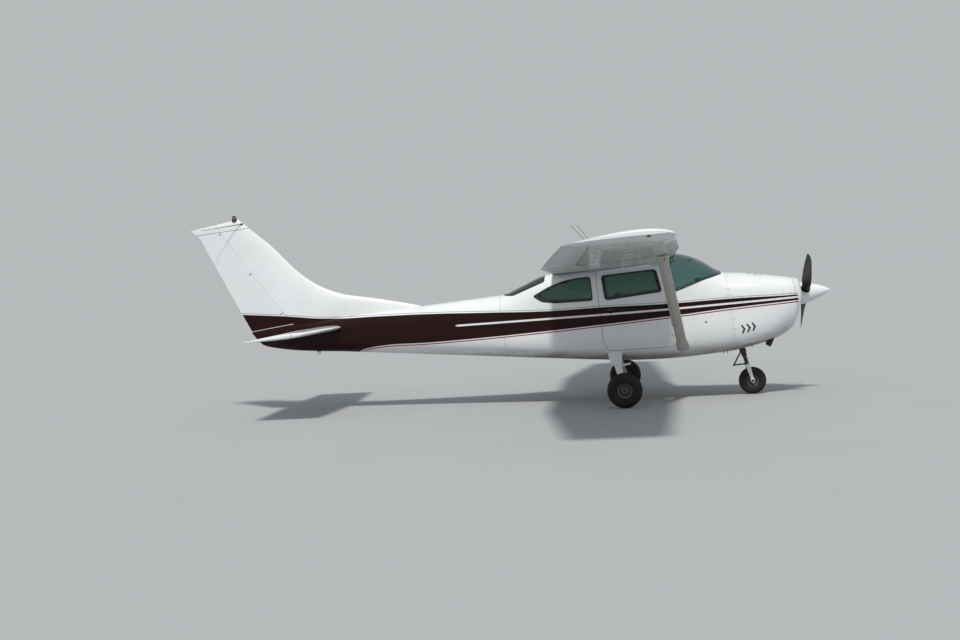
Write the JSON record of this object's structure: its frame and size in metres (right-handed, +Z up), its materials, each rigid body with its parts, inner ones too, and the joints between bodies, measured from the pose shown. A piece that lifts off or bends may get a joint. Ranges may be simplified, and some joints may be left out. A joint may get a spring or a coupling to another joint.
{
  "type": "high-wing light aircraft",
  "caption": "Strut-braced high-wing light aircraft with seats, doors, control surfaces, flaps and fixed nose-wheel gear, parked.",
  "frame": {"origin": "on the ground, at the middle of the aircraft's box", "axes": "+X forward, +Y to port, +Z up"},
  "size_m": [8.6848, 10.92, 2.7512],
  "materials": {
    "white_paint": "glossy white paint on sheet aluminium, lightly weathered",
    "maroon_paint": "glossy dark maroon paint on sheet aluminium",
    "cream_paint": "aged off-white paint",
    "gear_paint": "glossy white paint on steel",
    "firewall_steel": "plain sheet steel",
    "engine_iron": "dark cast metal",
    "exhaust_steel": "heat-stained steel",
    "floor_trim": "brown floor covering on sheet",
    "panel_plastic": "black crackle finish",
    "beacon_lens": "dark red lens",
    "glazing": "clear acrylic with a green tint",
    "seat_cloth": "worn brown upholstery",
    "propeller_black": "satin black paint",
    "strut_black": "black enamel",
    "tyre_rubber": "worn black rubber",
    "hub_alloy": "cast alloy"
  },
  "bodies": {
    "airframe": {"beacon": "beacon_lens", "cabin_floor": "floor_trim", "cabin_roof": "white_paint", "cabin_shell": "white_paint", "engine": "engine_iron", "exhaust_pipe": "exhaust_steel", "fin": "white_paint", "firewall": "firewall_steel", "front_seat_left": "seat_cloth", "front_seat_right": "seat_cloth", "instrument_panel": "panel_plastic", "lower_cowl": "white_paint", "main_leg_left": "gear_paint", "main_leg_right": "gear_paint", "nose_bowl": "white_paint", "nose_strut": "strut_black", "rear_seat": "seat_cloth", "rear_window": "glazing", "side_window_left": "glazing", "side_window_right": "glazing", "stabiliser": "white_paint", "tail_cone": "maroon_paint", "upper_cowl": "white_paint", "windshield": "glazing", "wing_left": "white_paint", "wing_right": "white_paint", "wing_strut_left": "cream_paint", "wing_strut_right": "cream_paint"},
    "propeller": {"propeller": "propeller_black", "spinner": "white_paint"},
    "nose_gear": {"nose_fork": "gear_paint"},
    "nose_wheel": {"nose_tyre": "tyre_rubber", "nose_hub": "hub_alloy"},
    "main_wheel_left": {"main_tyre_left": "tyre_rubber", "main_hub_left": "hub_alloy"},
    "main_wheel_right": {"main_tyre_right": "tyre_rubber", "main_hub_right": "hub_alloy"},
    "door_left": {"door_left": "white_paint", "door_glass_left": "glazing"},
    "door_right": {"door_right": "white_paint", "door_glass_right": "glazing"},
    "baggage_door": {"baggage_door": "white_paint"},
    "oil_door": {"oil_door": "white_paint"},
    "cowl_flap_left": {"cowl_flap_left": "white_paint"},
    "cowl_flap_right": {"cowl_flap_right": "white_paint"},
    "flap_left": {"flap_left": "white_paint"},
    "flap_right": {"flap_right": "white_paint"},
    "aileron_left": {"aileron_left": "white_paint"},
    "aileron_right": {"aileron_right": "white_paint"},
    "elevator": {"elevator": "white_paint"},
    "rudder": {"rudder": "white_paint"}
  },
  "joints": [
    {"name": "propeller_spin", "type": "hinge", "parent": "airframe", "child": "propeller", "pos_m": [4.01386, 0, 1.31643], "axis": [0.9956, 0, 0.0937], "continuous": true},
    {"name": "nose_steering", "type": "hinge", "parent": "airframe", "child": "nose_gear", "pos_m": [3.22397, 0, 0.38678], "axis": [-0.2662, 0, 0.9639], "range_deg": [-30, 30]},
    {"name": "nose_wheel_spin", "type": "hinge", "parent": "nose_gear", "child": "nose_wheel", "pos_m": [3.28094, 0, 0.1805], "axis": [0, 1, 0], "continuous": true},
    {"name": "main_wheel_left_spin", "type": "hinge", "parent": "airframe", "child": "main_wheel_left", "pos_m": [1.59094, 1.215, 0.2225], "axis": [0, 1, 0], "continuous": true},
    {"name": "main_wheel_right_spin", "type": "hinge", "parent": "airframe", "child": "main_wheel_right", "pos_m": [1.59094, -1.215, 0.2225], "axis": [0, 1, 0], "continuous": true},
    {"name": "door_left_hinge", "type": "hinge", "parent": "airframe", "child": "door_left", "pos_m": [2.22284, 0.563, 1.12584], "axis": [0.0937, 0, -0.9956], "range_deg": [0, 75]},
    {"name": "door_right_hinge", "type": "hinge", "parent": "airframe", "child": "door_right", "pos_m": [2.22284, -0.563, 1.12584], "axis": [-0.0937, 0, 0.9956], "range_deg": [0, 75]},
    {"name": "baggage_door_hinge", "type": "hinge", "parent": "airframe", "child": "baggage_door", "pos_m": [0.56803, 0.49731, 1.03545], "axis": [0.0937, 0, -0.9956], "range_deg": [0, 90]},
    {"name": "oil_door_hinge", "type": "hinge", "parent": "airframe", "child": "oil_door", "pos_m": [3.33411, -0.1075, 1.60219], "axis": [-0.9933, 0, 0.1159], "range_deg": [0, 80]},
    {"name": "cowl_flap_left_hinge", "type": "hinge", "parent": "airframe", "child": "cowl_flap_left", "pos_m": [3.27605, 0.18, 0.64987], "axis": [0, -1, 0], "range_deg": [0, 30]},
    {"name": "cowl_flap_right_hinge", "type": "hinge", "parent": "airframe", "child": "cowl_flap_right", "pos_m": [3.27605, -0.18, 0.64987], "axis": [0, -1, 0], "range_deg": [0, 30]},
    {"name": "flap_left_hinge", "type": "hinge", "parent": "airframe", "child": "flap_left", "pos_m": [1.03144, 1.56, 1.63034], "axis": [0.0029, -0.9995, -0.0304], "range_deg": [0, 40]},
    {"name": "flap_right_hinge", "type": "hinge", "parent": "airframe", "child": "flap_right", "pos_m": [1.03144, -1.56, 1.63034], "axis": [-0.0029, -0.9995, 0.0304], "range_deg": [0, 40]},
    {"name": "aileron_left_hinge", "type": "hinge", "parent": "airframe", "child": "aileron_left", "pos_m": [1.18111, 3.895, 1.92701], "axis": [0.0926, 0.9941, 0.0569], "range_deg": [-15, 20]},
    {"name": "aileron_right_hinge", "type": "hinge", "parent": "airframe", "child": "aileron_right", "pos_m": [1.18111, -3.895, 1.92701], "axis": [-0.0926, 0.9941, -0.0569], "range_deg": [-20, 20]},
    {"name": "elevator_hinge", "type": "hinge", "parent": "airframe", "child": "elevator", "pos_m": [-2.67546, 0, 1.10195], "axis": [0, 1, 0], "range_deg": [-17, 26]},
    {"name": "rudder_hinge", "type": "hinge", "parent": "airframe", "child": "rudder", "pos_m": [-2.98351, 0, 1.17342], "axis": [-0.5812, 0, 0.8138], "range_deg": [-24, 24]}
  ],
  "couplings": [
    {"joint": "flap_right_hinge", "follows": "flap_left_hinge", "ratio": 1},
    {"joint": "aileron_right_hinge", "follows": "aileron_left_hinge", "ratio": -1},
    {"joint": "cowl_flap_right_hinge", "follows": "cowl_flap_left_hinge", "ratio": 1}
  ]
}
